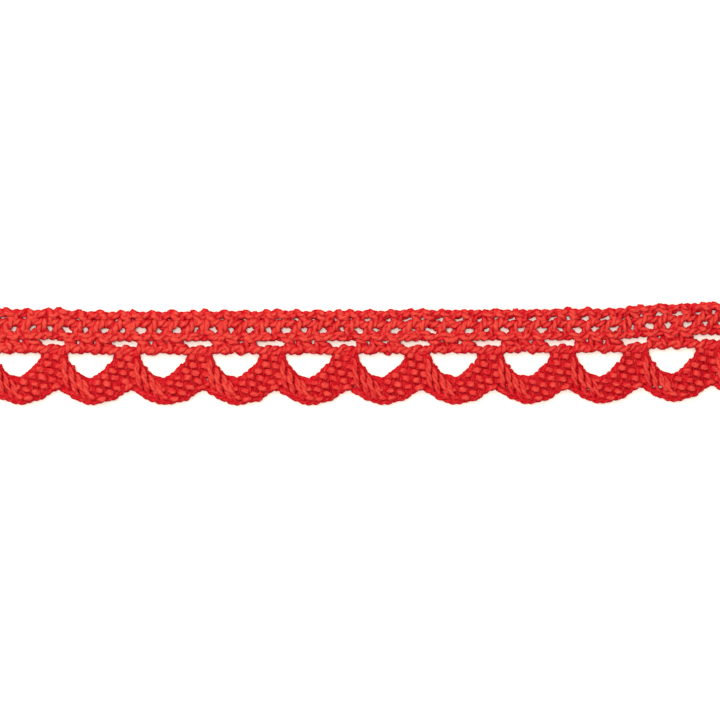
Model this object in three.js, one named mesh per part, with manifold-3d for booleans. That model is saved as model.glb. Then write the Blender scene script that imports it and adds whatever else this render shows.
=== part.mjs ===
// A cut length of narrow scalloped cotton lace trim, lying flat on its underside.
// It is one worked strip: a ribbed heading, open eyelets under it, and a woven tape that
// drops into a scallop round each eyelet and climbs back to the heading between them.
// +X runs along the strip, +Y points across it to the heading's edge, +Z is up.
// Sizes are in millimetres.

import * as THREE from 'three';
import { mergeVertices } from 'three/addons/utils/BufferGeometryUtils.js';
import Module from 'manifold-3d';

// Driving dimensions
const SCALLOPS = 12;
const PITCH = 9.09; // one scallop, from valley to valley
const WIDTH = 11.8; // from the heading's edge to the foot of a scallop
const THICK = 1.15; // over the crest of the ribs
const SELVEDGE = 0.42; // height of the strip along its worked edges
const SIDE_OVERLAP = 0.25; // how far the tape runs up into the heading
const TRIM = 0.45; // from the end's cut, through the middle of a pillar, to its valley

// How the strip lies: its middle line wanders and lifts towards one end, where it is
// also pulled a little wider.
const LIE = [
  { x: -54.5, middle: 0.1, width: 12.0 },
  { x: -38.0, middle: 0.03, width: 11.95 },
  { x: -31.0, middle: -0.13, width: 11.68 },
  { x: -9.0, middle: -0.12, width: 11.85 },
  { x: 13.0, middle: -0.06, width: 11.8 },
  { x: 33.0, middle: 0.08, width: 11.85 },
  { x: 40.5, middle: 0.5, width: 12.25 },
  { x: 46.0, middle: 0.64, width: 12.3 },
  { x: 54.5, middle: 0.7, width: 12.3 },
];

// The heading's ribs and the grooves between them, by their distance down from its edge.
const HEADING_ROWS = [
  { down: 0.0, height: SELVEDGE, bead: 0.0, pit: 0.0 },
  { down: 0.4, height: 1.08, bead: 0.07, pit: 0.0 },
  { down: 0.8, height: 0.92, bead: 0.05, pit: 0.0 },
  { down: 1.1, height: 0.72, bead: 0.0, pit: 0.22 },
  { down: 1.6, height: 1.05, bead: -0.08, pit: 0.0 },
  { down: 2.05, height: 0.98, bead: -0.05, pit: 0.0 },
  { down: 2.45, height: 0.74, bead: 0.0, pit: 0.42 },
  { down: 3.0, height: 1.05, bead: 0.08, pit: 0.0 },
  { down: 3.95, height: 0.72, bead: 0.0, pit: 0.24 },
  { down: 4.65, height: 1.05, bead: -0.08, pit: 0.0 },
  { down: 5.2, height: SELVEDGE, bead: 0.0, pit: 0.0 },
];
const BEADS_PER_PITCH = 4; // crossings of the workers in one scallop's length
const COLUMNS_PER_BEAD = 4;
const FIRST_BEAD = 0.25; // its distance from the valley

// The worker loops that stand out along the heading's edge, by their place in the repeat.
const EDGE_LOOPS = [{ x: 0.25 }, { x: 2.65 }, { x: 5.3 }, { x: 7.91 }];
const LOOP_REACH = 0.3;
const LOOP_HALF_WIDTH = 0.78;

// The two soft bulges of the heading's lower edge into each eyelet.
const LOWER_BULGES = [{ x: 2.44 }, { x: 5.3 }];
const BULGE_REACH = 0.22;
const BULGE_HALF_WIDTH = 1.1;

// The tape round one eyelet: its inner edge, which is the eyelet's, and its outer edge.
const EYELET_EDGE = [
  { x: 1.1, down: 5.3 },
  { x: 1.5, down: 6.15 },
  { x: 1.85, down: 6.72 },
  { x: 2.3, down: 7.28 },
  { x: 2.85, down: 7.82 },
  { x: 3.35, down: 8.26 },
  { x: 3.9, down: 8.42 },
  { x: 4.5, down: 8.22 },
  { x: 5.15, down: 7.8 },
  { x: 5.7, down: 7.24 },
  { x: 6.3, down: 6.8 },
  { x: 6.75, down: 6.2 },
  { x: 7.15, down: 5.3 },
];
const OUTER_EDGE = [
  { x: 0.0, down: 9.92 },
  { x: 0.4, down: 10.05 },
  { x: 1.0, down: 10.42 },
  { x: 2.0, down: 11.05 },
  { x: 3.2, down: 11.58 },
  { x: 4.4, down: WIDTH },
  { x: 5.6, down: 11.62 },
  { x: 6.8, down: 11.3 },
  { x: 7.7, down: 10.75 },
  { x: 8.4, down: 10.22 },
  { x: 9.09, down: 9.92 },
];
const TAPE_ROWS = [
  { share: 0.0, height: SELVEDGE },
  { share: 0.16, height: 1.04 },
  { share: 0.5, height: 0.93 },
  { share: 0.85, height: 1.04 },
  { share: 1.0, height: SELVEDGE },
];
const TAPE_COLUMNS = 24; // in one scallop's length

// The long floats that stand up on each scallop's left flank, side by side.
const FLOATS = [{ x: 1.15 }, { x: 2.15 }, { x: 3.15 }, { x: 4.15 }];
const FLOAT_RISE = 0.12;
const FLOAT_HALF_WIDTH = 0.5;
const FLOAT_LEAN = 0.17; // how far a float's foot lies right of its head, for each mm down

// The long slot in the heading over each pillar of tape, by its outline in the repeat.
const SLOT = [
  { x: 6.81, down: 3.92 },
  { x: 7.0, down: 3.72 },
  { x: 9.75, down: 3.72 },
  { x: 9.96, down: 3.95 },
  { x: 9.8, down: 4.3 },
  { x: 9.2, down: 4.36 },
  { x: 8.5, down: 4.18 },
  { x: 7.8, down: 4.36 },
  { x: 7.0, down: 4.36 },
];

const HALF_LENGTH = (SCALLOPS * PITCH) / 2;
const SPARE_PITCHES = 1; // worked past each end and trimmed off square

// A smooth value along a table, eased between its rows.
function along(table, at, column) {
  const last = table.length - 1;
  if (at <= table[0].x) return table[0][column];
  if (at >= table[last].x) return table[last][column];
  const next = table.findIndex((row) => row.x > at);
  const [from, to] = [table[next - 1], table[next]];
  const part = THREE.MathUtils.smoothstep(at, from.x, to.x);
  return THREE.MathUtils.lerp(from[column], to[column], part);
}

// The same along straight lines, for the edges of the tape.
function straight(table, at, column) {
  const next = Math.max(1, table.findIndex((row) => row.x >= at));
  const [from, to] = [table[next - 1], table[next]];
  const part = THREE.MathUtils.clamp((at - from.x) / (to.x - from.x), 0, 1);
  return THREE.MathUtils.lerp(from[column], to[column], part);
}

// How far along the repeat a place lies, from the valley on its left.
function inRepeat(x) {
  return THREE.MathUtils.euclideanModulo(x + HALF_LENGTH - TRIM, PITCH);
}

// A round swelling, 1 at its middle and 0 past its half width, repeated in every scallop.
function swelling(places, x, halfWidth) {
  const from = inRepeat(x);
  const away = places.map((place) => {
    const distance = Math.abs(from - place.x);
    return Math.min(distance, PITCH - distance);
  });
  const nearest = Math.min(...away) / halfWidth;
  return nearest < 1 ? 0.5 + 0.5 * Math.cos(Math.PI * nearest) : 0;
}

// The place across the strip of a point that is so far down from the heading's edge.
function across(x, down) {
  const width = along(LIE, x, 'width');
  return along(LIE, x, 'middle') + width * (0.5 - down / WIDTH);
}

// A band of the strip as a closed body: a box of columns and rows whose points are moved
// to where place(column, row) puts them, the lower ones to below the underside.
function band(columns, rows, place) {
  const box = new THREE.BoxGeometry(1, 1, 1, columns, rows, 1);
  const points = box.getAttribute('position');
  for (let i = 0; i < points.count; i += 1) {
    const column = Math.round((points.getX(i) + 0.5) * columns);
    const row = Math.round((0.5 - points.getY(i)) * rows);
    const { x, down, height } = place(column, row);
    points.setXYZ(i, x, across(x, down), points.getZ(i) > 0 ? height : -THICK);
  }
  return box;
}

const BANDED_LENGTH = (SCALLOPS + 2 * SPARE_PITCHES) * PITCH;
const BAND_START = TRIM - BANDED_LENGTH / 2; // at a valley

// The heading: four ribs of paired yarns with grooves between them. The workers cross
// them four times in a scallop and stand up there as a row of beads.
function heading() {
  const perPitch = BEADS_PER_PITCH * COLUMNS_PER_BEAD;
  const columns = (SCALLOPS + 2 * SPARE_PITCHES) * perPitch;
  return band(columns, HEADING_ROWS.length - 1, (column, row) => {
    const x = BAND_START + FIRST_BEAD + (BANDED_LENGTH * column) / columns;
    const { down, height, bead, pit } = HEADING_ROWS[row];
    const beat = Math.cos((2 * Math.PI * column) / COLUMNS_PER_BEAD);
    let edge = down;
    if (row === 0) edge -= LOOP_REACH * swelling(EDGE_LOOPS, x, LOOP_HALF_WIDTH);
    if (row === HEADING_ROWS.length - 1) {
      edge += BULGE_REACH * swelling(LOWER_BULGES, x, BULGE_HALF_WIDTH);
    }
    return { x, down: edge, height: height + bead * beat - pit * Math.max(0, -beat) };
  });
}

// The tape: under an eyelet it spans from the eyelet's edge to the outer edge, and
// between two eyelets it runs right up into the heading as a pillar.
function tape() {
  const columns = (SCALLOPS + 2 * SPARE_PITCHES) * TAPE_COLUMNS;
  const [left, right] = [EYELET_EDGE[0].x, EYELET_EDGE[EYELET_EDGE.length - 1].x];
  const headingLow = HEADING_ROWS[HEADING_ROWS.length - 1].down;
  return band(columns, TAPE_ROWS.length - 1, (column, row) => {
    const x = BAND_START + (BANDED_LENGTH * column) / columns;
    const from = inRepeat(x);
    const pillar = from < left || from > right;
    const top = pillar ? headingLow - SIDE_OVERLAP : straight(EYELET_EDGE, from, 'down');
    const { share, height } = TAPE_ROWS[row];
    const down = THREE.MathUtils.lerp(top, straight(OUTER_EDGE, from, 'down'), share);
    const head = x - FLOAT_LEAN * (down - headingLow);
    const float = share > 0 && share < 1 ? swelling(FLOATS, head, FLOAT_HALF_WIDTH) : 0;
    const buried = pillar && row === 0;
    return { x, down, height: (buried ? TAPE_ROWS[2].height : height) + FLOAT_RISE * float };
  });
}

// One slot's cutter, standing through the strip.
function slotCutter(start) {
  const outline = SLOT.map((corner) => {
    const x = start + corner.x;
    return new THREE.Vector2(x, across(x, corner.down));
  });
  const cutter = new THREE.ExtrudeGeometry(new THREE.Shape(outline), {
    depth: 4 * THICK,
    bevelEnabled: false,
  });
  return cutter.translate(0, 0, -2 * THICK);
}

const wasm = await Module();
wasm.setup();

function solid(geometry) {
  const bare = geometry.clone();
  bare.deleteAttribute('normal');
  bare.deleteAttribute('uv');
  const merged = mergeVertices(bare);
  return new wasm.Manifold(new wasm.Mesh({
    numProp: 3,
    vertProperties: new Float32Array(merged.getAttribute('position').array),
    triVerts: new Uint32Array(merged.index.array),
  }));
}

function geometryOf(body) {
  const mesh = body.getMesh();
  const geometry = new THREE.BufferGeometry();
  geometry.setAttribute('position', new THREE.BufferAttribute(mesh.vertProperties, 3));
  geometry.setIndex(new THREE.BufferAttribute(mesh.triVerts, 1));
  geometry.computeVertexNormals();
  return geometry;
}

// The strip as worked, with its slots open, trimmed flat underneath and square at both
// ends, and set with its box's middle over the origin.
function laceStrip() {
  let strip = solid(heading()).add(solid(tape()));
  for (let repeat = 0; repeat <= SCALLOPS; repeat += 1) {
    strip = strip.subtract(solid(slotCutter(BAND_START + repeat * PITCH)));
  }
  const kept = new THREE.BoxGeometry(2 * HALF_LENGTH, 3 * WIDTH, 4 * THICK);
  kept.translate(0, 0, 2 * THICK);
  const geometry = geometryOf(strip.intersect(solid(kept)));
  geometry.computeBoundingBox();
  const middle = geometry.boundingBox.getCenter(new THREE.Vector3());
  return geometry.translate(-middle.x, -middle.y, 0);
}

const redCotton = new THREE.MeshStandardMaterial({
  color: 0xd8221f,
  roughness: 0.85,
  metalness: 0,
});

const lace = new THREE.Mesh(laceStrip(), redCotton);
lace.name = 'lace_trim';

const group = new THREE.Group();
group.add(lace);

export default group;
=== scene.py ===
"""Looks of a flat cut length of narrow scalloped cotton lace trim, built thread by thread.

Every yarn is a tube of real thickness carried along its own path: cords along the heading, pairs that zigzag
over and under them, rows and uprights woven through the scallops, and a twisted pair round each eyelet and
along the scalloped rim. Fine loose fibres stand off the yarns.
Paths are planned on the strip itself, in millimetres along it and down from the heading's edge, and then laid
on the part. A point of a yarn = its path's point + radius * (cos(turn) sideways + sin(turn) over). All pieces
replace the one solid of the frame.
"""

import bpy
import numpy as np
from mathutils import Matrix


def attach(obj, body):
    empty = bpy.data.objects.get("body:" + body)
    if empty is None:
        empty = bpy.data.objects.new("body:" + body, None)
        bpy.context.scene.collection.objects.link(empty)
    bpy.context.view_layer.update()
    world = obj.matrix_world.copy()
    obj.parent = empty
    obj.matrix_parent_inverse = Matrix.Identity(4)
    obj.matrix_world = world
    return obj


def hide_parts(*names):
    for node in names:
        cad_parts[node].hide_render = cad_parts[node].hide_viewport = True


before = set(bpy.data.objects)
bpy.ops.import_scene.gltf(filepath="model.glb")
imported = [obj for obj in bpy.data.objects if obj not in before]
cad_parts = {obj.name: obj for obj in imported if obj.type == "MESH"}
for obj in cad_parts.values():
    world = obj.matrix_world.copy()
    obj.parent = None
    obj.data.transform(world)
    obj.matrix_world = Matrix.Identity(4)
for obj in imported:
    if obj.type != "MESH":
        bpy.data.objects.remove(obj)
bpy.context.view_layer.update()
chance = np.random.default_rng(1912)


# Heading workers: pairs of red cotton yarn that zigzag from the heading's edge to its lowest cord and back,
# over one cord and under the next. Their turns are the small loops along the edge, and the gaps between them
# are the small holes of the heading.

MM = 0.001
SCALLOPS = 12
PITCH = 9.09
WIDTH = 11.8
HALF_LENGTH = SCALLOPS * PITCH / 2
TRIM = 0.45  # from the left cut end to the first valley
FIRST_VALLEY = TRIM - HALF_LENGTH

# How the strip lies: how far its middle is across and how wide it is, at places along it.
CENTRING = 0.559
LIE_X = (-54.5, -38, -31, -9, 13, 33, 40.5, 46, 54.5)
LIE_MIDDLE = (0.1, 0.03, -0.13, -0.12, -0.06, 0.08, 0.5, 0.64, 0.7)
LIE_WIDTH = (12.0, 11.95, 11.68, 11.85, 11.8, 11.85, 12.25, 12.3, 12.3)

# The yarn: its section, its three plies, its thick and thin places, and its cut ends.
STEP = 0.135
SIDES = 9
YARN_RADIUS = 0.28
YARN_SECTION = (1.08, 0.86)  # half width and half height, as shares of the radius
PLIES = 3
PLY_LAY = 1.7
PLY_DEPTH = 0.09
SLUB_DEPTH, SLUB_WAVES = 0.15, (1.1, 6)
THREE_SINES = 1.7  # about the root of 3, which brings a sum of three sines back to the strength of one
ROUNDED_END, BLUNT_END = 0.15, 0.12
CUT_UNEVEN = 0.22
TABLE = 0.005
FULL_X = (-54.5, -20, 10, 30, 54.5)
FULLNESS = (1.15, 1.12, 1.03, 0.97, 0.95)
PAIR_HEIGHT = 0.65  # of a twisted pair, as a share of its width
HALF_TURN = 1.0

# The zigzags: turning points as (along, down), and the worker's height at each crossing.
ROW_1, ROW_2, ROW_3, FOOT = 1.0, 2.4, 3.95, 5.08
LOOP_HALF_WIDTH, LOOP_FOOT, BELOW_LOOPS = 0.3, 0.42, 0.5
CROSSING_DOWN = (0.08, LOOP_FOOT, ROW_1, 1.63, ROW_2, 3.27, ROW_3, 4.82, FOOT)
GOING_DOWN = (0.5, 0.84, 0.66, 0.34, 0.42, 0.84, 0.64, 0.34, 0.5)
GOING_UP = (0.5, 0.34, 0.45, 0.84, 0.7, 0.34, 0.44, 0.74, 0.5)
WORKER_A = ((0.25, 0.05), (1.2, ROW_1), (2.5, ROW_2), (3.95, ROW_3), (4.9, FOOT), (5.3, ROW_3), (7.2, ROW_2),
            (8.2, ROW_1))
WORKER_B = ((7.86, 0.12), (8.6, ROW_1), (9.15, ROW_2), (10.95, ROW_3), (12.0, FOOT), (12.25, ROW_3),
            (13.72, ROW_2), (15.5, ROW_1))
WORKER_C = ((2.6, 0.05), (3.45, ROW_1), (4.63, ROW_2), (6.05, ROW_3), (7.4, FOOT), (8.5, 5.2), (9.9, 5.15),
            (10.85, ROW_3), (11.59, ROW_2), (12.75, ROW_1))
WORKER_D = ((5.3, 0.2), (5.95, ROW_1), (7.3, ROW_2), (7.95, 3.1), (8.65, 3.1), (9.08, ROW_2), (10.3, ROW_1))
WORKER_CD = WORKER_C + tuple((x + PITCH, down) for x, down in WORKER_D)
WORKER_SPREAD = (0.14, 0.2, 0.29, 0.23, 0.24, 0.23, 0.29, 0.21, 0.14)
SPREAD_UNEVEN = 0.5
JITTER = 0.13
spun = []  # every stretch of yarn, for the loose fibres that grow from them


def eased(x, places, values):
    """Value at x: between two places it changes from one value to the next by 3t^2 - 2t^3."""
    places, values = np.asarray(places, float), np.asarray(values, float)
    i = np.clip(np.searchsorted(places, x) - 1, 0, len(places) - 2)
    t = np.clip((x - places[i]) / (places[i + 1] - places[i]), 0, 1)
    return values[i] + (values[i + 1] - values[i]) * t * t * (3 - 2 * t)


def laid(points):
    """Strip places (along, down from the heading's edge, up) as places of the part, all in mm.
    across = middle + width * (1/2 - down / nominal width), less what centres the part."""
    x, down, up = np.asarray(points, float).T
    width = eased(x, LIE_X, LIE_WIDTH)
    across = eased(x, LIE_X, LIE_MIDDLE) + width * (0.5 - down / WIDTH) - CENTRING
    return np.stack([x, across, up], axis=1)


def evenly(path, step=STEP):
    """The same path with its points a step apart: each column is interpolated over the length so far."""
    length = np.concatenate([[0], np.cumsum(np.linalg.norm(np.diff(path[:, :3], axis=0), axis=1))])
    stops = np.linspace(0, length[-1], max(4, int(length[-1] / step) + 1))
    return np.stack([np.interp(stops, length, column) for column in path.T], axis=1)


def curve(knots, samples=10):
    """Catmull-Rom curve through the knots: half of (2b + (c-a)t + (2a-5b+4c-d)t^2 + (3b-a-3c+d)t^3)."""
    knots = np.asarray(knots, float)
    padded = np.vstack([2 * knots[0] - knots[1], knots, 2 * knots[-1] - knots[-2]])
    a, b, c, d = (padded[i : len(padded) - 3 + i, None] for i in range(4))
    t = np.linspace(0, 1, samples, endpoint=False)[None, :, None]
    inner = 0.5 * (2 * b + (c - a) * t + (2 * a - 5 * b + 4 * c - d) * t**2
                   + (3 * b - a - 3 * c + d) * t**3)
    return np.vstack([inner.reshape(-1, 3), knots[-1:]])


def directions(path):
    """Unit vectors at each point: ahead along the path, sideways (ahead x up) and over (sideways x ahead)."""
    ahead = np.gradient(path, axis=0)
    ahead /= np.linalg.norm(ahead, axis=1, keepdims=True)
    sideways = np.cross(ahead, (0.0, 0.0, 1.0))
    sideways /= np.linalg.norm(sideways, axis=1, keepdims=True)
    return ahead, sideways, np.cross(sideways, ahead)


def twisted(path, spread, radius=YARN_RADIUS, half_turn=HALF_TURN, start=None, count=2):
    """Yarns of one radius that twist round one path: yarn k stands spread * cos(turn) sideways and
    0.65 * spread * sin(turn) over, with turn = start + pi * length / half_turn + 2 pi k / count."""
    _, sideways, over = directions(path)
    length = np.arange(len(path)) * np.linalg.norm(path[1] - path[0])
    start = chance.uniform(0, np.pi) if start is None else start
    turns = start + np.pi * length[:, None] / half_turn + 2 * np.pi * np.arange(count) / count
    return [(path + (spread * np.cos(turn))[:, None] * sideways
             + (PAIR_HEIGHT * spread * np.sin(turn))[:, None] * over, radius) for turn in turns.T]


def cut_to_length(path, fewest=5):
    """The stretches of a path that lie on the strip, which is cut at both ends with a little unevenness."""
    low = -HALF_LENGTH + chance.uniform(0, CUT_UNEVEN)
    high = HALF_LENGTH - chance.uniform(0, CUT_UNEVEN)
    inside = (path[:, 0] > low) & (path[:, 0] < high)
    edges = np.flatnonzero(np.diff(np.concatenate([[0], inside.astype(int), [0]])))
    return [path[a:b] for a, b in zip(edges[::2], edges[1::2]) if b - a >= fewest]


def yarn_surface(path, radius):
    """A plied yarn along a path. Point = path + r * (1.08 cos(turn) sideways + 0.86 sin(turn) over), with
    r = radius * slubs * fullness * (1 + 0.09 cos 3(turn - 2 pi length / lay)) * end. Slubs are slow waves of
    thickness, the fullness changes along the strip, and end rounds off the last 0.15 mm. What would lie below
    the table is pressed flat on it."""
    waves, phases = 2 * np.pi / chance.uniform(*SLUB_WAVES, 3), chance.uniform(0, 2 * np.pi, 3)
    slubs = 1 + SLUB_DEPTH * np.sin(waves * path[:, :1] + phases).sum(axis=1) / THREE_SINES
    radius = radius * slubs * eased(path[:, 0], FULL_X, FULLNESS)
    _, sideways, over = directions(path)
    length = np.concatenate([[0], np.cumsum(np.linalg.norm(np.diff(path, axis=0), axis=1))])
    turn = 2 * np.pi * np.arange(SIDES) / SIDES
    plies = 1 + PLY_DEPTH * np.cos(PLIES * (turn[None, :] - 2 * np.pi * length[:, None] / PLY_LAY))
    to_end = np.minimum(length, length[-1] - length)
    r = radius * np.sqrt(np.clip(to_end / ROUNDED_END + BLUNT_END, 0, 1))
    half_width, half_height = YARN_SECTION
    ring = (half_width * np.cos(turn)[None, :, None] * sideways[:, None, :]
            + half_height * np.sin(turn)[None, :, None] * over[:, None, :])
    points = path[:, None, :] + (r[:, None] * plies)[:, :, None] * ring
    points[:, :, 2] = np.maximum(points[:, :, 2], TABLE)
    rings, k = len(path), np.arange(SIDES)
    after = (k + 1) % SIDES
    row = np.arange(rings - 1)[:, None] * SIDES
    quads = np.stack([row + k, row + SIDES + k, row + SIDES + after, row + after], axis=2).reshape(-1, 4)
    tail, head = rings * SIDES, rings * SIDES + 1
    last = (rings - 1) * SIDES
    fans = np.vstack([np.stack([np.full(SIDES, tail), k, after], axis=1),
                      np.stack([np.full(SIDES, head), last + after, last + k], axis=1)])
    u0, u1 = np.repeat(length[:-1], SIDES), np.repeat(length[1:], SIDES)
    v0 = np.tile(k / SIDES, rings - 1)
    v1 = v0 + 1 / SIDES
    quad_uv = np.stack([u0, v0, u1, v0, u1, v1, u0, v1], axis=1).reshape(-1, 2)
    tail_v = np.stack([k + 0.5, k, k + 1], axis=1).reshape(-1) / SIDES
    head_v = np.stack([k + 0.5, k + 1, k], axis=1).reshape(-1) / SIDES
    fan_uv = np.concatenate([np.stack([np.zeros(3 * SIDES), tail_v], axis=1),
                             np.stack([np.full(3 * SIDES, length[-1]), head_v], axis=1)])
    return np.vstack([points.reshape(-1, 3), path[:1], path[-1:]]), quads, fans, quad_uv, fan_uv


def yarn_piece(name, yarns):
    """One mesh of many yarns, given as (path, radius) pairs and cut to the strip's length. Its UV map holds
    the length along the yarn in mm and the share of a turn round it."""
    corners, quads, fans, quad_uv, fan_uv, count = [], [], [], [], [], 0
    for path, radius in yarns:
        for stretch in cut_to_length(path):
            points, sides, ends, side_uv, end_uv = yarn_surface(stretch, radius)
            spun.append(stretch)
            corners.append(points)
            quads.append(sides + count)
            fans.append(ends + count)
            quad_uv.append(side_uv)
            fan_uv.append(end_uv)
            count += len(points)
    mesh = bpy.data.meshes.new(name)
    mesh.from_pydata((np.vstack(corners) * MM).tolist(), [],
                     np.vstack(quads).tolist() + np.vstack(fans).tolist())
    layer = mesh.uv_layers.new(name="along_yarn")
    layer.data.foreach_set("uv", np.vstack(quad_uv + fan_uv).astype(np.float32).ravel())
    mesh.polygons.foreach_set("use_smooth", np.ones(len(mesh.polygons), bool))
    made = bpy.data.objects.new(name, mesh)
    bpy.context.collection.objects.link(made)
    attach(made, "root")
    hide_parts("lace_trim")
    return made


class Wire:
    """A shader socket that is used as a number: sums, differences and products of wires are Math nodes."""

    def __init__(self, tree, socket):
        self.tree, self.socket = tree, socket

    def into(self, socket):
        self.tree.links.new(self.socket, socket)

    def math(self, operation, *others, clamp=False):
        node = self.tree.nodes.new("ShaderNodeMath")
        node.operation, node.use_clamp = operation, clamp
        for value, socket in zip((self, *others), node.inputs):
            put(value, socket)
        return Wire(self.tree, node.outputs[0])

    def __add__(self, other):
        return self.math("ADD", other)

    def __sub__(self, other):
        return self.math("SUBTRACT", other)

    def __rsub__(self, other):
        return self * -1 + other

    def __mul__(self, other):
        return self.math("MULTIPLY", other)

    __radd__, __rmul__ = __add__, __mul__


def put(value, socket):
    """Feeds a socket: a wire is linked to it, and a plain number or colour is set on it."""
    if isinstance(value, Wire):
        value.into(socket)
    else:
        socket.default_value = value


class Cloth:
    """A material's node tree. node() adds one node, with its settings first, then a ramp's stops, then its
    inputs by name; set() feeds the surface shader."""

    def __init__(self, name):
        self.material = bpy.data.materials.new(name)
        self.material.use_nodes = True
        self.tree = self.material.node_tree
        self.surface = self.tree.nodes["Principled BSDF"]

    def node(self, kind, output=0, inputs=(), stops=(), **settings):
        made = self.tree.nodes.new("ShaderNode" + kind)
        for key, value in settings.items():
            setattr(made, key, value)
        for place, _ in stops[1:-1]:
            made.color_ramp.elements.new(place)
        if stops:
            for stop, (_, shade) in zip(made.color_ramp.elements, stops):
                stop.color = shade
        for key, value in dict(inputs).items():
            put(value, made.inputs[key])
        return Wire(self.tree, made.outputs[output])

    def set(self, **inputs):
        for key, value in inputs.items():
            put(value, self.surface.inputs[key.replace("_", " ")])


# Ramp stops: a crimson for painted shade, a plain red between, and an orange-red for painted light.
SHADE_CRIMSON, PLAIN_RED, HIGHLIGHT_ORANGE_RED = (0.39, 0.0, 0.005, 1), (0.5, 0.012, 0.017, 1), (0.62, 0.066, 0.043, 1)
STREAKS_ALONG, STREAKS_ROUND = 2.2, 17.0
DYE_SCALE = 1900.0
UPPER_HEIGHTS = (0.00036, 0.00112)  # in metres, from painted shade to painted light on the upper face
UNDER_HEIGHTS = (0.0004, 0.0)  # and on the underside
# normal z between which yarn sides in painted shade turn to tops and bottoms in painted light
OUTWARD_FACING = (0.35, 0.97)
UNDER_FACING = (-0.1, -0.4)
# taken off the sum before the ramp, which moves all the painted light and shade towards shade
SHADE_OFFSET = 0.94
FIBRE_RELIEF = 0.00007


def red_cotton():
    """Matt dyed cotton, with light and shade painted into its colour. Plies = cos 3(turn - length / lay)
    paint shade into the grooves; streaks of fibre run along the yarn; a noise over the cloth makes some
    places deeper in colour.
    Painted light falls where yarn stands out of the cloth and faces away from it, painted shade where it lies
    deep or
    faces sideways: lit = 0.6 height share + 0.4 facing share + mottle and groove shade - 0.94. The height
    share is the height above the middle on the upper face, and the depth below it on the underside."""
    cotton = Cloth("red_cotton_yarn")
    uv = cotton.node("UVMap", uv_map="along_yarn")
    length = cotton.node("SeparateXYZ", "X", {"Vector": uv})
    turn = cotton.node("SeparateXYZ", "Y", {"Vector": uv})
    plies = ((turn - length * (1 / PLY_LAY)) * (2 * PLIES * np.pi)).math("COSINE")
    stretched = cotton.node("CombineXYZ", 0, {"X": length * STREAKS_ALONG, "Y": turn * STREAKS_ROUND})
    fibre = cotton.node("TexNoise", 0, {"Vector": stretched, "Scale": 1.0, "Detail": 3.0, "Roughness": 0.6})
    place = cotton.node("TexCoord", "Object")
    dye = cotton.node("TexNoise", 0, {"Vector": place, "Scale": DYE_SCALE, "Detail": 3.0, "Roughness": 0.6})
    height = cotton.node("SeparateXYZ", "Z", {"Vector": place})
    facing = cotton.node("SeparateXYZ", "Z", {"Vector": cotton.node("TexCoord", "Normal")})

    def share(value, limits):
        """0 at the first limit, 1 at the second, in a straight line between them."""
        return cotton.node("MapRange", 0, {"Value": value, "From Min": limits[0], "From Max": limits[1]})

    # Painted shade on the yarns' sides, painted light on what faces up or down out of the cloth.
    lit_by_facing = share(facing.math("ABSOLUTE"), OUTWARD_FACING)
    underside = share(facing, UNDER_FACING)
    # Painted light on what stands highest on the upper face and lowest on the underside, painted shade in the
    # recesses.
    above, below = share(height, UPPER_HEIGHTS), share(height, UNDER_HEIGHTS)
    lit_by_height = above + (below - above) * underside
    # Fibre streaks and dye noise are random tone; the ply term paints shade into the ply grooves.
    mottle_and_groove_shade = plies * 0.06 + fibre * 0.6 + dye
    lit = (lit_by_height * 0.6 + lit_by_facing * 0.4 + mottle_and_groove_shade).math("SUBTRACT", SHADE_OFFSET, clamp=True)
    # The ramp turns painted light and shade into colour, from crimson in shade to orange-red in light.
    colour = cotton.node("ValToRGB", 0, {"Fac": lit}, stops=((0, SHADE_CRIMSON), (0.5, PLAIN_RED), (1, HIGHLIGHT_ORANGE_RED)))
    relief = plies * 0.35 + fibre * 0.9
    bump = cotton.node("Bump", 0, {"Height": relief, "Strength": 0.8, "Distance": FIBRE_RELIEF})
    cotton.set(Base_Color=colour, Normal=bump, Roughness=0.75 + fibre * 0.2, Specular_IOR_Level=0.01)
    return cotton.material


cotton = red_cotton()


def wobble(x, size, shortest=7, longest=25):
    """A chance drift along x: size / 3 times the sum of three sines, each of a chance length between the two
    given ones and with a chance phase."""
    waves = 2 * np.pi / chance.uniform(shortest, longest, 3)
    phases = chance.uniform(0, 2 * np.pi, 3)
    return size * np.sin(waves * np.asarray(x)[:, None] + phases).sum(axis=1) / 3


def worker(strokes, first, every):
    """A pair's path over the whole strip: its strokes are repeated, the k-th time every * k pitches on, and
    it turns sharply at a loop. Its height is read from how far down it is, from one table on the way down and
    another on the way up, and is then evened out by (before + 2 here + after) / 4."""
    repeats = range(-2, SCALLOPS // every + 2)
    turned = []
    for x, down in strokes:
        sharp = ((x - LOOP_HALF_WIDTH, LOOP_FOOT), (x, down), (x + LOOP_HALF_WIDTH, LOOP_FOOT))
        turned.extend(sharp if down < ROW_1 else sharp[1:2])
    knots = np.array([(x + PITCH * (first + every * k), down) for k in repeats for x, down in turned])
    knots[:, 0] += FIRST_VALLEY + chance.uniform(-JITTER, JITTER, len(knots))
    knots[:, 1] += chance.uniform(-JITTER, JITTER, len(knots)) * (knots[:, 1] > BELOW_LOOPS)
    plan = curve(np.column_stack([knots, np.zeros(len(knots))]), samples=14)
    sinking = np.gradient(plan[:, 1]) >= 0
    plan[:, 2] = np.where(sinking, np.interp(plan[:, 1], CROSSING_DOWN, GOING_DOWN),
                          np.interp(plan[:, 1], CROSSING_DOWN, GOING_UP))
    plan[1:-1, 2] = (plan[:-2, 2] + 2 * plan[1:-1, 2] + plan[2:, 2]) / 4
    spread = np.interp(plan[:, 1], CROSSING_DOWN, WORKER_SPREAD) * (1 + wobble(plan[:, 0], SPREAD_UNEVEN))
    path = evenly(np.column_stack([laid(plan), spread]))
    return path[:, :3], path[:, 3]


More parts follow.
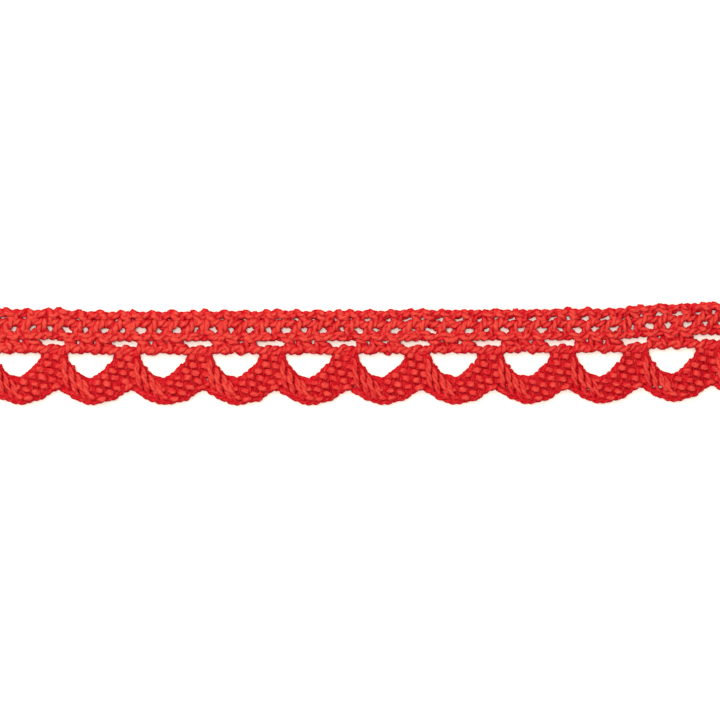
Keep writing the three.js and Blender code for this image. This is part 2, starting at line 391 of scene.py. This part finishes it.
worker_yarns = []
for strokes, first, every in ((WORKER_A, 0, 1), (WORKER_B, 0, 1), (WORKER_CD, 0, 2), (WORKER_CD, 1, 2)):
    path, spread = worker(strokes, first, every)
    worker_yarns += twisted(path, spread)
heading_workers = yarn_piece("heading_workers", worker_yarns)
heading_workers.data.materials.append(cotton)


# Heading cords: four pairs of the same yarn that run the whole length of the tape, each pair twisted on
# itself. They bend under a worker that passes over them and over one that passes below, and stand a little
# further apart towards the right end. The lowest cord carries the scallops.

RIB_DOWN = (0.5, 1.54, 3.24, 4.82)
RIB_HEIGHT = (0.5, 0.57, 0.57, 0.55)
RIB_SPREAD = (0.22, 0.25, 0.24, 0.245)
RIB_YARN_RADIUS = (0.26, 0.27, 0.26, 0.285)
RIB_GIVE = 0.85
LEVEL_WORKER = 0.57  # the worker's height at which a cord isn't bent
RIB_DRIFT = 0.06
RIB_PARTING = (-0.14, 0.2, 0.06, 0.0)
PARTING_X = (-8, 10)
LOWEST_X = (0, 0.7, 1.4, 2.9, 3.9, 4.85, 6.3, 7.0, 7.7, 8.55, PITCH)
LOWEST_SHIFT = (0.06, 0.12, 0, 0.03, -0.12, 0.03, 0, 0.1, 0.14, -0.14, 0.06)
PLAN_STEP = 0.1
SPARE = 1  # planned past each cut end


def crossings(down):
    """Where workers cross a line that far down, within one repeat, and how high they are there. On a straight
    stroke x = x0 + (x1 - x0)(down - d0) / (d1 - d0)."""
    found = []
    for strokes, every in ((WORKER_A, 1), (WORKER_B, 1), (WORKER_CD, 2)):
        closed = strokes + ((strokes[0][0] + PITCH * every, strokes[0][1]),)
        for (x0, d0), (x1, d1) in zip(closed, closed[1:]):
            if min(d0, d1) < down < max(d0, d1):
                heights = GOING_DOWN if d1 > d0 else GOING_UP
                found.append(((x0 + (x1 - x0) * (down - d0) / (d1 - d0)) % PITCH,
                              np.interp(down, CROSSING_DOWN, heights)))
    x, up = np.array(sorted(found)).T
    return np.concatenate([x - PITCH, x, x + PITCH]), np.tile(up, 3)


rib_x = np.arange(-HALF_LENGTH - SPARE, HALF_LENGTH + SPARE, PLAN_STEP)
from_valley = np.mod(rib_x - FIRST_VALLEY, PITCH)
rib_yarns = []
for place, down in enumerate(RIB_DOWN):
    at, worker_up = crossings(down)
    up = RIB_HEIGHT[place] + RIB_GIVE * (LEVEL_WORKER - eased(from_valley, at, worker_up))
    drift = wobble(rib_x, RIB_DRIFT) + RIB_PARTING[place] * eased(rib_x, PARTING_X, (0, 1))
    if down == RIB_DOWN[-1]:
        drift = drift + eased(from_valley, LOWEST_X, LOWEST_SHIFT)
    path = evenly(laid(np.stack([rib_x, down + drift, up], axis=1)))
    rib_yarns += twisted(path, RIB_SPREAD[place], RIB_YARN_RADIUS[place])
heading_ribs = yarn_piece("heading_ribs", rib_yarns)
heading_ribs.data.materials.append(cotton)


# Scallop rows: heavier pairs that run along the scallops at a slight slope, from the right edge of one eyelet
# to the left edge of the next, or on below the eyelets. Where they lie over the uprights they show as short
# plump stitches.

ROW_SLOPE = 0.2112
ROW_SPACING = 0.96
ROW_ZERO_DOWN = 7.92  # how far down row number 0 is at a valley
ROW_YARN_RADIUS = 0.26
ROW_SPREAD, SPREAD_UNDER_FLOATS = 0.115, 0.23
UNTWISTED = 60  # half a turn in so many mm, so the pair's yarns lie side by side
TILT = 0.3  # the most that such a pair leans, in radians
ROWS = ((4.05, 7.35, 10.4), (5.0, 6.9, 11.3), (5.97, 6.05, 24.3), (6.9, 5.2, 16.6))  # down at x 0, from, to
UPRIGHT_X = (4.2, 4.9, 5.6, 6.3, 7.0, 7.7, 8.4, 9.1)
FLOAT_X = (10.1, 11.0, 11.9, 12.6)
FIRST_UPRIGHT = -1  # its number in the weave, which sets what passes over and what under
WAIST_DOWN = 9.0  # how far down the uprights pass through these places
LEAN = 0.4
ROW_MID, ROW_RISE, ROW_PLUMP = 0.54, 0.25, 0.6
ROW_UNDER_FLOATS = 0.34
FLOAT_ZONE_X, FLOAT_ZONE = (0, 0.5, 1.0, 3.7, 4.3, PITCH), (0, 0, 1, 1, 0, 0)
OUTER_EDGE = ((0, 9.95), (0.35, 9.99), (0.7, 10.28), (1.35, 10.57), (1.75, 10.92), (2.2, 11.17), (2.9, 11.36),
              (3.4, 11.62), (3.9, 11.74), (4.6, 11.72), (5.15, 11.68), (5.6, 11.48), (6.3, 11.35),
              (7.0, 11.22), (7.4, 11.0), (7.8, 10.62), (8.4, 10.25))
ROW_TO_RIM = 0.55
ROW_DRIFT = 0.04
ROW_UNEVEN, STITCH_WAVES = 0.14, (2, 5)
valleys = FIRST_VALLEY + PITCH * np.arange(-1, SCALLOPS + 1)
every_upright = np.concatenate([np.array(UPRIGHT_X + FLOAT_X) + PITCH * k for k in range(-1, 3)])
upright_numbers = np.arange(len(every_upright)) - len(UPRIGHT_X + FLOAT_X) + FIRST_UPRIGHT


def float_zone(x):
    """1 where the long floats of a scallop's left flank lie on top, 0 elsewhere, with eased borders."""
    return eased(np.mod(x, PITCH), FLOAT_ZONE_X, FLOAT_ZONE)


def weave_places(x, down):
    """Numbers of the uprights and of the rows at a place: whole numbers are on their middles. Twelve uprights
    and floats stand in a pitch, and a row is two rows further down after it, so the weave runs on evenly."""
    upright = np.interp(x + LEAN * (down - WAIST_DOWN), every_upright, upright_numbers)
    return upright, (down - ROW_SLOPE * x - ROW_ZERO_DOWN) / ROW_SPACING


def row_height(x, down):
    """Height of a row: middle + rise * (w + 0.6 (1 - w^2)) with w = (-1)^row * cos(pi * upright number), so
    that its high stretches are longer than its low ones; and low under the floats."""
    upright, row = weave_places(x, down)
    wave = np.cos(np.pi * np.round(row)) * np.cos(np.pi * upright)
    woven = ROW_MID + ROW_RISE * (wave + ROW_PLUMP * (1 - wave**2))
    zone = float_zone(x)
    return woven * (1 - zone) + ROW_UNDER_FLOATS * zone


rim_x, rim_down = np.array(OUTER_EDGE).T
row_yarns = []
for valley in valleys:
    for start_down, start_x, end_x in ROWS:
        x = np.arange(start_x, end_x, PLAN_STEP)
        down = start_down + ROW_SLOPE * x
        up = row_height(x, down) + wobble(x, ROW_UNEVEN, *STITCH_WAVES)
        lowest = np.interp(np.mod(x, PITCH), rim_x, rim_down, period=PITCH) - ROW_TO_RIM
        down = np.minimum(down, lowest) + wobble(x, ROW_DRIFT) + wobble(x, ROW_UNEVEN, *STITCH_WAVES)
        spread = ROW_SPREAD + (SPREAD_UNDER_FLOATS - ROW_SPREAD) * float_zone(x)
        path = evenly(np.column_stack([laid(np.stack([x + valley, down, up], axis=1)), spread]))
        row_yarns += twisted(path[:, :3], path[:, 3], ROW_YARN_RADIUS, UNTWISTED, chance.uniform(-TILT, TILT))
scallop_rows = yarn_piece("scallop_rows", row_yarns)
scallop_rows.data.materials.append(cotton)


# Scallop uprights: pairs that hang from the lowest cord of the heading down each scallop to its rim. On the
# right flank they weave through the rows; on the left flank they lie over them as long floats.

UPRIGHT_TOPS = ((4.55, 8.6), (5.52, 7.8), (6.68, 6.7), (7.78, 5.2), (8.48, 5.2), (9.18, 5.2), (9.75, 5.2),
                (9.95, 5.2))
UPRIGHT_FEET = ((3.95, 11.35), (4.35, 11.35), (4.85, 11.3), (5.5, 11.1), (6.2, 10.95), (6.95, 10.8),
                (7.85, 10.2), (8.75, 9.7))
FLOATS = (((0.85, 5.9), (0.9, 7.9), (1.38, 10.2)), ((1.62, 7.0), (1.86, 8.7), (2.5, 10.85)),
          ((2.5, 7.9), (2.88, 9.5), (3.6, 11.2)), ((3.25, 8.6), (3.72, 10.0), (4.3, 11.35)))
UPRIGHT_MID, UPRIGHT_RISE = 0.41, 0.11
FLOAT_HIGH = 0.84
FLOAT_END = 1.1  # a float is down on the cloth again about a tenth of its length before its end
FLOAT_YARN_RADIUS, FLOAT_SPREAD = 0.225, 0.17
FLOAT_HALF_TURN, FLOAT_START = 1.5, (0.2, 0.9)
UPRIGHT_YARN_RADIUS, UPRIGHT_SPREAD = 0.215, 0.16
UPRIGHT_JITTER = 0.07


def upright_height(x, down):
    """Height of an upright: middle - rise * (-1)^upright * cos(pi * row number)."""
    upright, row = weave_places(x, down)
    return UPRIGHT_MID - UPRIGHT_RISE * np.cos(np.pi * np.round(upright)) * np.cos(np.pi * row)


def float_height(share):
    """Height of a float at a share of its length: middle + (top - middle) * sqrt(sin(pi * 1.1 share))."""
    arch = np.sin(np.pi * np.clip(share * FLOAT_END, 0, 1)) ** 0.5
    return UPRIGHT_MID + (FLOAT_HIGH - UPRIGHT_MID) * arch


def down_the_scallop(places):
    """A smooth level path through three places (along, down), each moved by chance the same both ways."""
    knots = np.array([(x, down, 0) for x, down in places])
    return curve(knots + chance.uniform(-UPRIGHT_JITTER, UPRIGHT_JITTER, (3, 1)), samples=20)


upright_yarns = []
for valley in valleys:
    for top, middle, foot in zip(UPRIGHT_TOPS, UPRIGHT_X, UPRIGHT_FEET):
        path = down_the_scallop((top, (middle, WAIST_DOWN), foot))
        path[:, 2] = upright_height(path[:, 0], path[:, 1])
        path[:, 0] += valley
        start = chance.uniform(-TILT, TILT)
        upright_yarns += twisted(evenly(laid(path)), UPRIGHT_SPREAD, UPRIGHT_YARN_RADIUS, UNTWISTED, start)
    for places in FLOATS:
        path = down_the_scallop(places)
        path[:, 2] = float_height(np.linspace(0, 1, len(path)))
        path[:, 0] += valley
        start = chance.uniform(*FLOAT_START)
        upright_yarns += twisted(evenly(laid(path)), FLOAT_SPREAD, FLOAT_YARN_RADIUS, FLOAT_HALF_TURN, start)
scallop_uprights = yarn_piece("scallop_uprights", upright_yarns)
scallop_uprights.data.materials.append(cotton)


# Edge cords: a pair round the open side of each eyelet, and one along the whole scalloped rim. Rows and
# uprights turn round them, so they hold the cloth's edge.

EYELET_EDGE = ((1.0, 5.0), (1.18, 5.4), (1.38, 6.05), (1.65, 6.62), (2.12, 7.15), (2.55, 7.65), (3.0, 8.02),
               (3.4, 8.3), (4.05, 8.36), (4.6, 8.1), (5.2, 7.82), (5.6, 7.35), (5.95, 7.03), (6.35, 6.86),
               (6.65, 6.4), (6.93, 5.9), (6.98, 5.6), (6.9, 5.25), (6.75, 4.95))
EDGE_INSET = 0.32
EDGE_HEIGHT = 0.4
EDGE_YARN_RADIUS, EDGE_SPREAD, EDGE_HALF_TURN = 0.185, 0.14, 0.9


def inset(path, by):
    """The path moved sideways into the cloth: by * (down step, - along step) / step length."""
    step = np.gradient(path, axis=0)
    step /= np.linalg.norm(step, axis=1, keepdims=True)
    moved = path.copy()
    moved[:, 0] -= by * step[:, 1]
    moved[:, 1] += by * step[:, 0]
    return moved


def edge_pair(places, by, shift=0):
    """A twisted pair along an edge given by its places (along, down), moved into the cloth and then along."""
    edge = inset(curve([(x, down, EDGE_HEIGHT) for x, down in places], samples=8), by)
    edge[:, 0] += shift
    return twisted(evenly(laid(edge)), EDGE_SPREAD, EDGE_YARN_RADIUS, EDGE_HALF_TURN)


edge_yarns = []
for valley in valleys:
    edge_yarns += edge_pair(EYELET_EDGE, EDGE_INSET, valley)
edge_yarns += edge_pair([(x + valley, down) for valley in valleys for x, down in OUTER_EDGE], -EDGE_INSET)
edge_cords = yarn_piece("edge_cords", edge_yarns)
edge_cords.data.materials.append(cotton)


# Loose fibres: fine ends of cotton, a few tenths of a millimetre long, that stand off the spun yarns
# everywhere and reach into the small holes. They make the trim's edges soft.

FIBRES = 4400
FIBRE_THICK = 0.024
FIBRE_LENGTH = (0.25, 0.7)
FIBRE_RINGS = 6
FIBRE_SIDES = 3
FIBRE_TAPER = 0.6
FIBRE_LEVEL = (1, 1, 0.5)
FIBRE_BEND = (0.5, 0.5, 0.3)
FIBRE_HEIGHTS = (0.03, 1.12)
HOLE_ROWS = (ROW_1, ROW_2, ROW_3)
HOLE_REACH = 0.45
ELSEWHERE = 0.25
ALONG_AT_HOLES = 0.55
TUFT = 9
TUFT_INSIDE, TUFT_CHANCE, TUFT_ANGLE, TUFT_LENGTH = 0.12, 0.09, 0.3, 0.7
CUT_ZONE = 0.4  # a yarn that ends this near the strip's end is cut there
PAST_END = 0.4
SKEW = (0.31, -0.2, 0.93)  # a direction that hardly any fibre takes


def loose_fibres():
    """Every fibre is root + length * (s * ahead + s^2 * bend), 0 <= s <= 1, with three sides that narrow
    towards its free end. It starts inside a yarn at a chance place and leaves it at a chance angle. Most
    stand in the rows of small holes, at weight 0.25 + sum of exp(-((down - row) / 0.45)^2), and reach along
    the strip there. Every cut end of yarn has a short tuft that follows the yarn."""
    on_yarns = np.vstack(spun)
    x, across = on_yarns[:, 0], on_yarns[:, 1]
    down = WIDTH * (0.5 - (across + CENTRING - eased(x, LIE_X, LIE_MIDDLE)) / eased(x, LIE_X, LIE_WIDTH))
    at_holes = np.exp(-(((down[:, None] - np.array(HOLE_ROWS)) / HOLE_REACH) ** 2)).sum(axis=1)
    weight = ELSEWHERE + at_holes
    chosen = chance.choice(len(on_yarns), FIBRES, replace=False, p=weight / weight.sum())
    roots = on_yarns[chosen]
    away = chance.normal(size=(FIBRES, 3)) * FIBRE_LEVEL
    away[:, 1:] *= 1 - ALONG_AT_HOLES * at_holes[chosen, None]
    away /= np.linalg.norm(away, axis=1, keepdims=True)
    cut_ends = [(yarn[end], yarn[end] - yarn[inner]) for yarn in spun for end, inner in ((0, 2), (-1, -3))
                if abs(yarn[end][0]) > HALF_LENGTH - CUT_ZONE]
    tips, lit_by_facing = (np.repeat(np.array(column), TUFT, axis=0) for column in zip(*cut_ends))
    lit_by_facing = lit_by_facing / np.linalg.norm(lit_by_facing, axis=1, keepdims=True)
    roots = np.vstack([roots, tips - TUFT_INSIDE * lit_by_facing + chance.normal(size=tips.shape) * TUFT_CHANCE])
    away = np.vstack([away, lit_by_facing + chance.normal(size=tips.shape) * TUFT_ANGLE])
    count = len(roots)
    bend = chance.normal(size=(count, 3)) * FIBRE_BEND
    length = chance.uniform(*FIBRE_LENGTH, count)
    length[FIBRES:] *= TUFT_LENGTH
    s = np.linspace(0, 1, FIBRE_RINGS)[None, :, None]
    line = roots[:, None] + length[:, None, None] * (s * away[:, None] + s**2 * bend[:, None])
    line[:, :, 0] = np.clip(line[:, :, 0], -HALF_LENGTH - PAST_END, HALF_LENGTH + PAST_END)
    line[:, :, 2] = np.clip(line[:, :, 2], *FIBRE_HEIGHTS)
    ahead = np.gradient(line, axis=1)
    sideways = np.cross(ahead, SKEW)
    sideways /= np.linalg.norm(sideways, axis=2, keepdims=True)
    over = np.cross(sideways, ahead)
    over /= np.linalg.norm(over, axis=2, keepdims=True)
    turn = np.arange(FIBRE_SIDES) * 2 * np.pi / FIBRE_SIDES
    ring = np.cos(turn)[:, None] * sideways[:, :, None] + np.sin(turn)[:, None] * over[:, :, None]
    points = line[:, :, None] + FIBRE_THICK / 2 * (1 - FIBRE_TAPER * s[..., None]) * ring
    first = (np.arange(count) * FIBRE_RINGS * FIBRE_SIDES)[:, None, None]
    row, k = np.arange(FIBRE_RINGS - 1)[None, :, None] * FIBRE_SIDES, np.arange(FIBRE_SIDES)
    after = (k + 1) % FIBRE_SIDES
    base = first + row
    beyond = base + FIBRE_SIDES
    quads = np.stack([base + k, base + after, beyond + after, beyond + k], axis=3).reshape(-1, 4)
    roots_closed = first[:, 0] + k[::-1]
    tips_closed = first[:, 0] + (FIBRE_RINGS - 1) * FIBRE_SIDES + k
    return points.reshape(-1, 3), quads, np.vstack([roots_closed, tips_closed])


corners, quads, ends = loose_fibres()
mesh = bpy.data.meshes.new("loose_fibres")
mesh.from_pydata((corners * MM).tolist(), [], quads.tolist() + ends.tolist())
mesh.polygons.foreach_set("use_smooth", np.ones(len(mesh.polygons), bool))
fuzz = bpy.data.objects.new("loose_fibres", mesh)
bpy.context.collection.objects.link(fuzz)
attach(fuzz, "root")
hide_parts("lace_trim")
BRIGHT_FIBRE = (0.8, 0.12, 0.08, 1)
fine_cotton = Cloth("fine_cotton_fibre")
tone = fine_cotton.node("TexNoise", 0, {"Vector": fine_cotton.node("TexCoord", "Object"), "Scale": 500.0})
fibre_colour = fine_cotton.node("Mix", 2, {"Factor": tone, "A": PLAIN_RED, "B": BRIGHT_FIBRE},
                                data_type="RGBA")
fine_cotton.set(Base_Color=fibre_colour, Roughness=0.6, Specular_IOR_Level=0.2)
fuzz.data.materials.append(fine_cotton.material)


# Floor: a plain pale table top a hair below the strip. It isn't part of the object. Its warm tone shows where
# less light falls, through the small holes and close to the strip.

bpy.ops.mesh.primitive_plane_add(size=4, location=(0, 0, -0.00001))
floor = bpy.context.object
floor.name = "floor"
paper = Cloth("pale_table_top")
paper.set(Base_Color=(0.98, 0.83, 0.73, 1), Roughness=0.9, Specular_IOR_Level=0.1)
floor.data.materials.append(paper.material)


# Light: a soft box like a window high on the left and behind, a stronger one nearly overhead, and an even
# white surround that fills the shadows.

def soft_box(name, place, size, power):
    """A square lamp at a place in metres, turned to face the middle of the strip."""
    lamp = bpy.data.lights.new(name, "AREA")
    lamp.size, lamp.energy = size, power
    made = bpy.data.objects.new(name, lamp)
    made.location = place
    made.rotation_euler = (-made.location).to_track_quat("-Z", "Y").to_euler()
    bpy.context.collection.objects.link(made)


soft_box("window_light", place=(-0.4, 0.42, 0.6), size=0.4, power=3.5)
soft_box("overhead_light", place=(-0.05, 0.08, 0.9), size=0.3, power=4.8)
surround = bpy.data.worlds.new("pale_surround")
surround.use_nodes = True
surround.node_tree.nodes["Background"].inputs["Color"].default_value = (1, 1, 1, 1)
surround.node_tree.nodes["Background"].inputs["Strength"].default_value = 0.72
bpy.context.scene.world = surround
bpy.context.scene.view_settings.view_transform = "Standard"


# Camera: straight above the strip, as the photograph was taken, with 90 mm of it across the picture. A long
# lens from far away keeps the view almost free of perspective.

PICTURE_WIDTH = 0.09
LENS, SENSOR = 180, 36
LOOKED_AT = (0.0019, -0.00088, 0.0006)
camera = bpy.data.objects.new("camera", bpy.data.cameras.new("camera"))
camera.data.lens, camera.data.sensor_width = LENS, SENSOR
camera.data.clip_start, camera.data.clip_end = 0.01, 10
camera.location = (LOOKED_AT[0], LOOKED_AT[1], LOOKED_AT[2] + PICTURE_WIDTH * LENS / SENSOR)
bpy.context.collection.objects.link(camera)
bpy.context.scene.camera = camera
